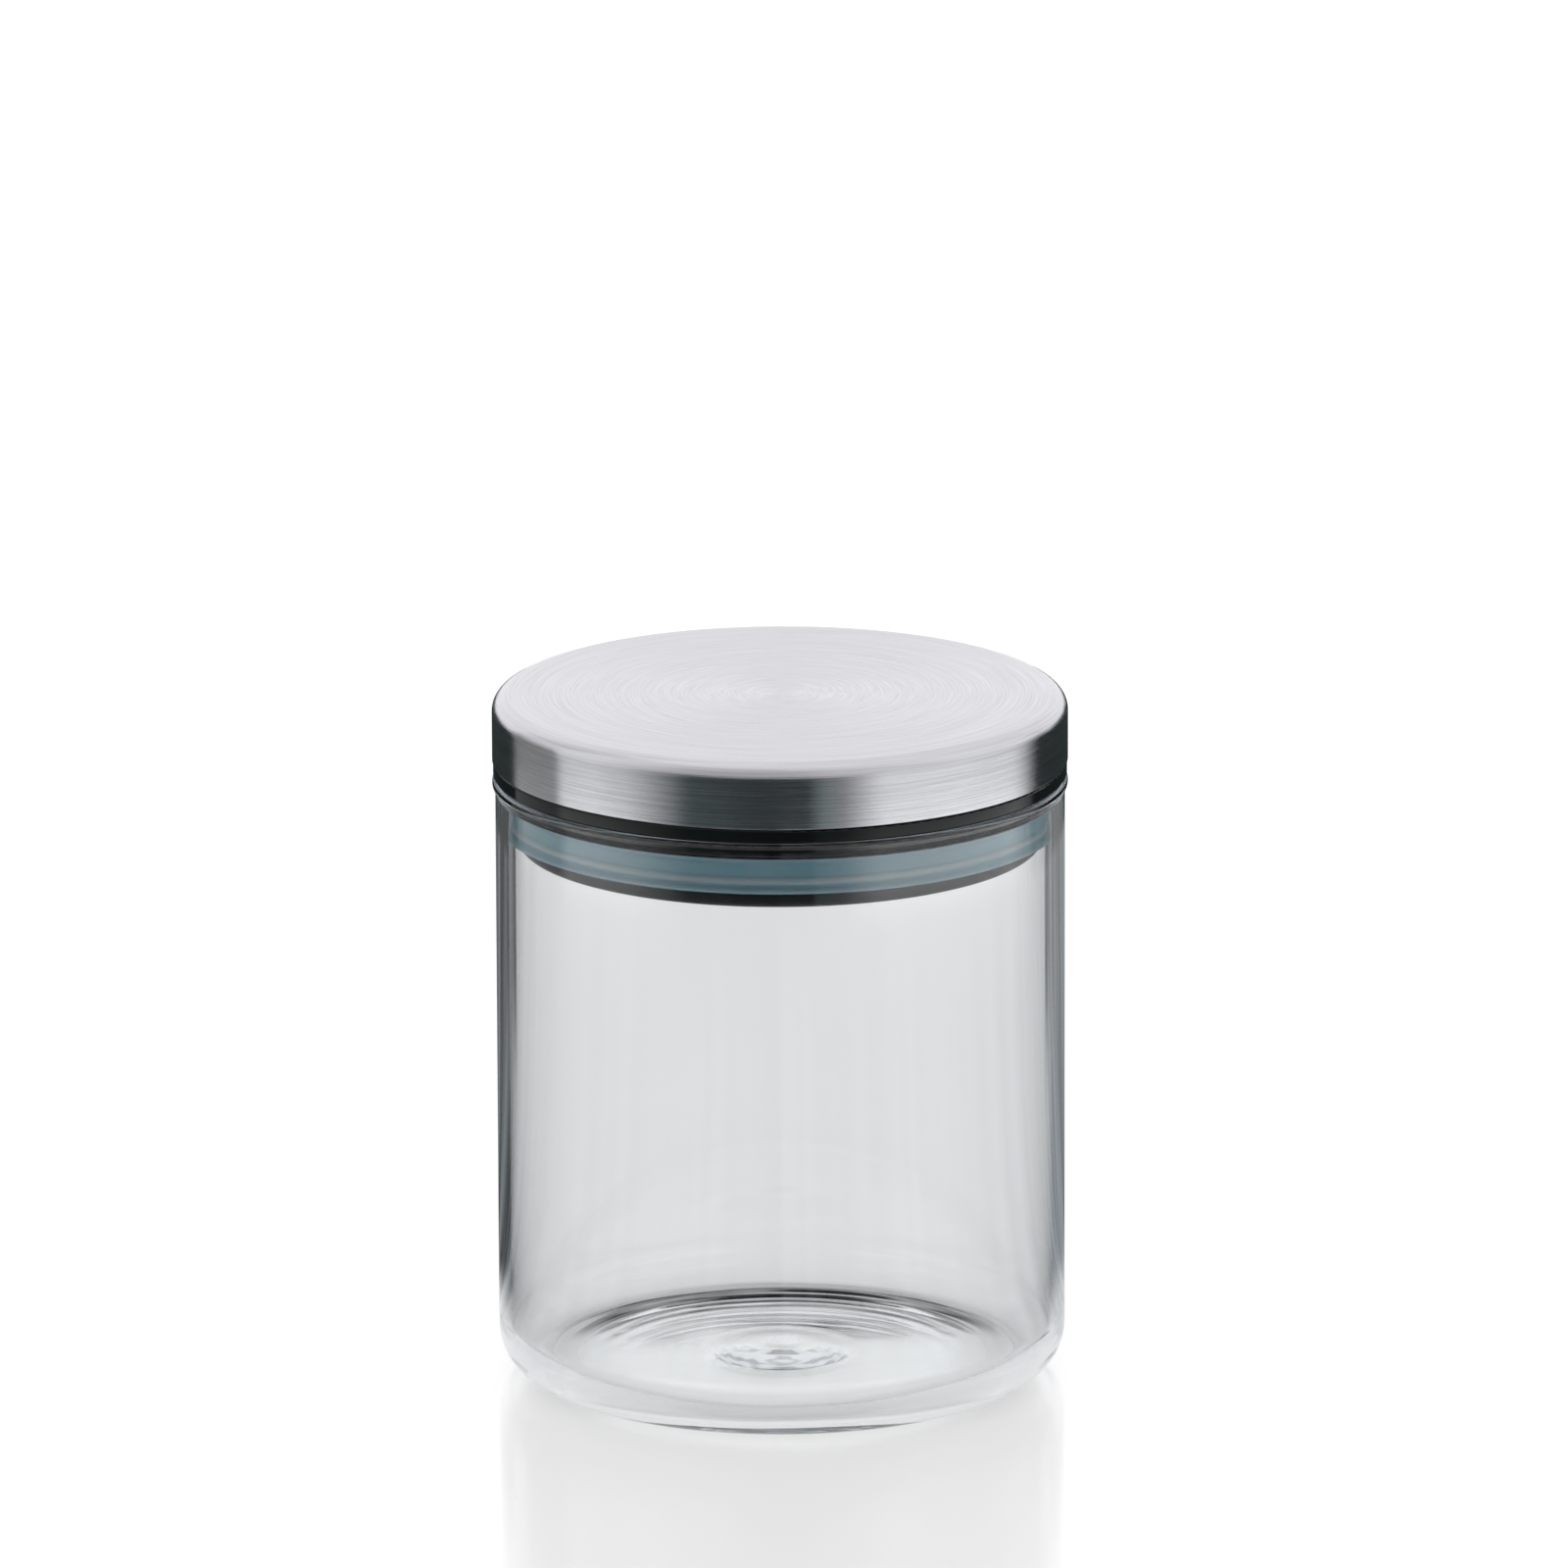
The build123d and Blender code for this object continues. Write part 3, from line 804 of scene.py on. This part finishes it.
def cardMaterial(name, side):  # grey, dark along its inner edge; side is -1 or 1
    material, tree = newMaterial(name)
    place = addNode(tree, "ShaderNodeTexCoord").outputs["Object"]
    here = addNode(tree, "ShaderNodeSeparateXYZ", inputs={0: place}).outputs
    out = addNode(tree, "ShaderNodeMath", multiply, {0: here["X"], 1: side})
    grey = addNode(tree, "ShaderNodeMapRange", inputs={
        "Value": out, "From Min": card["darkEdge"][0], "From Max": card["darkEdge"][1],
        "To Min": 0.05, "To Max": 0.34})
    streak = addNode(tree, "ShaderNodeTexNoise", {"noise_dimensions": "1D"}, {
        "W": out, "Scale": 90.0, "Detail": 1.0})
    dark = addNode(tree, "ShaderNodeMapRange", inputs={
        "Value": streak, "From Min": 0.42, "From Max": 0.66,
        "To Min": 0.08 + 0.06 * side, "To Max": 0.35 + 0.1 * side})
    caught = caughtLight(tree)
    away = addNode(tree, "ShaderNodeMath", subtract, {0: out, 1: card["jarSide"]})
    square = addNode(tree, "ShaderNodeMath", multiply, {0: away, 1: away})
    squared = addNode(tree, "ShaderNodeMath", multiplyAdd, {
        0: square, 1: card["slant"], 2: card["nearest"]})
    run = addNode(tree, "ShaderNodeMath", {"operation": "SQRT"}, {0: squared})
    path = addNode(tree, "ShaderNodeLightPath").outputs["Ray Length"]
    bent = addNode(tree, "ShaderNodeMath", {"operation": "COMPARE"}, {0: path, 1: run, 2: card["spread"]})
    behind = addNode(tree, "ShaderNodeMath", multiply, {
        0: bent, 1: pathTest(tree, "Transmission Depth", greater, 3.5)})
    seen = addNode(tree, "ShaderNodeMath", {"operation": "MAXIMUM"}, {0: caught, 1: behind})
    light = addNode(tree, "ShaderNodeMapRange", inputs={"Value": caught, "To Min": grey, "To Max": dark})
    height = addNode(tree, "ShaderNodeMapRange", smoothStep, {
        "Value": here["Z"], "From Min": 0.0, "From Max": card["fadeHeight"]})
    shareOf(tree, addNode(tree, "ShaderNodeMath", multiply, {0: height, 1: seen}), light)
    return material


def sideCard(name, side):  # an upright card behind the jar, seen only through the glass
    mesh = bpy.data.meshes.new(name)
    order = (("inner", "low"), ("outer", "low"), ("outer", "high"), ("inner", "high"))
    corners = [(side * card[x], card["behind"], card[z]) for x, z in order]
    mesh.from_pydata(corners, [], [(0, 1, 2, 3)])
    mesh.materials.append(cardMaterial(name, side))
    piece = bpy.data.objects.new(name, mesh)
    bpy.context.scene.collection.objects.link(piece)
    onlySeenBy(piece, "transmission")


def upright(d):
    return stretch((d["radius"], d["low"]), (d["radius"], d["high"]), 4)


# stops: degrees round from the front, and how light the ring is there

tent = {
    "radius": 0.26,
    "low": 0.001,
    "high": 0.53,
    "foot": 0.0,
    "fadeHeight": 0.07,
    "lowEdge": 0.10,
    "lowGain": 1.0,
    "stops": [(-150, 0.06), (-126, 0.06), (-124, 0.45), (-94, 0.5), (-90, 1.05), (-60, 1.0),
              (-34, 0.09), (-10, 0.04), (12, 0.05), (13.5, 0.42), (30, 0.6), (42, 1.1),
              (105, 1.15), (116, 0.9), (120, 0.05)],
}
collar = {
    "radius": 0.1,
    "low": 0.07,
    "high": 0.117,
    "foot": 0.07,
    "fadeHeight": 0.012,
    "lowEdge": 0.086,
    "lowGain": 2.0,
    "stops": [(-107.5, 0.27), (-80, 0.29), (-77, 0.8), (-62, 0.88), (-49, 0.7), (-29, 0.08),
              (-8, 0.04), (10.0, 0.04), (10.8, 0.18), (20, 0.30), (32, 1.0), (60, 1.05),
              (86, 0.9), (96, 0.3), (98.5, 0.02)],
}
collarEnd = {
    **collar,
    "high": 0.113,
    "fadeHeight": 0.004,
    "lowGain": 1.0,
    "stops": [(-180, 0.035), (180, 0.03)],
}

paintWorld()
tableLine = stretch((0, 0), (studio["tableFine"], 0), 4) + [(studio["tableRadius"], 0)]
addStagePiece("tableTop", tableLine, whiteAcrylic())
flagRing = addStagePiece("flagRing", upright(tent), tentMaterial("studioTent", tent), 150, 240)
onlySeenBy(flagRing, "glossy", "transmission")
collarRing = addStagePiece("collarRing", upright(collar), tentMaterial("studioCollar", collar), 162.5, 206)
onlySeenBy(collarRing, "glossy", "transmission")
endMaterial = tentMaterial("studioCollarEnds", collarEnd)
for name, start, sweep in (("collarLeft", 118, 44.5), ("collarRight", 8.5, 53.5)):
    onlySeenBy(addStagePiece(name, upright(collarEnd), endMaterial, start, sweep), "glossy")
sideCard("cardLeft", -1)
sideCard("cardRight", 1)
edgeLine = stretch((edge["inner"], edge["height"]), (edge["outer"], edge["height"]), 8)
edgeRing = addStagePiece("edgeRing", edgeLine, edgeMaterial())
onlySeenBy(edgeRing, "glossy", "transmission")

view = {
    "place": Vector((0.0, -2.8314, 0.8385)),
    "aim": Vector((0.00065, 0.0119, 0.0968)),
    "lens": 407.2,
    "roll": -0.194,
}


def addCamera():
    data = bpy.data.cameras.new("camera")
    data.lens = view["lens"]
    data.sensor_width = 36.0
    data.clip_start, data.clip_end = 0.05, 100.0
    camera = bpy.data.objects.new("camera", data)
    bpy.context.scene.collection.objects.link(camera)
    look = (view["aim"] - view["place"]).to_track_quat("-Z", "Y").to_matrix().to_4x4()
    look = look @ Matrix.Rotation(math.radians(view["roll"]), 4, "Z")
    look.translation = view["place"]
    camera.matrix_world = look
    bpy.context.scene.camera = camera


addCamera()
scene = bpy.context.scene
scene.view_settings.view_transform = "Standard"
scene.cycles.max_bounces = 64  # light runs a long way inside the thick heel
scene.cycles.transmission_bounces = 64
scene.cycles.glossy_bounces = 64
scene.cycles.transparent_max_bounces = 32
print("lit the table")
